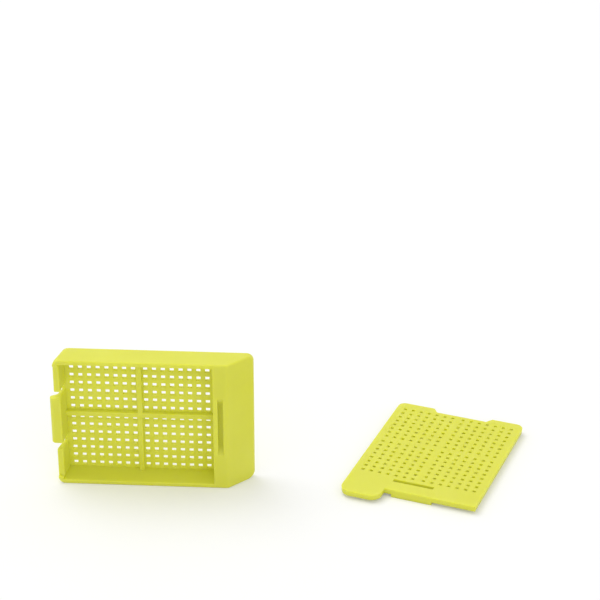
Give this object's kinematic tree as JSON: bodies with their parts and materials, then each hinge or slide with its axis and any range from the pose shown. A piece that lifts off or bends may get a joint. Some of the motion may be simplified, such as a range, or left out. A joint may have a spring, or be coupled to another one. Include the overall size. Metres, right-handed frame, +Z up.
{
  "type": "tissue cassette",
  "caption": "Perforated yellow plastic tissue cassette: a divided base with a latch and a sloping writing face, standing on its side, and its separate clip-on lid lying beside it.",
  "frame": {"origin": "middle of the long wall that the base stands on, at floor level", "axes": "+X along the base from the latch end to the writing end, +Y from the open side to the perforated floor, +Z up from the standing wall"},
  "size_m": [0.0967, 0.0416, 0.0285],
  "materials": {
    "yellow_acetal": "satin moulded yellow acetal, as it comes from the mould"
  },
  "bodies": {
    "base": {"cassette_base": "yellow_acetal"},
    "lid": {"lid": "yellow_acetal"}
  },
  "joints": [
    {"name": "lid_lift", "type": "slide", "parent": "base", "child": "lid", "axis": [0, 0, 1], "range_m": [0, 0.05]}
  ]
}
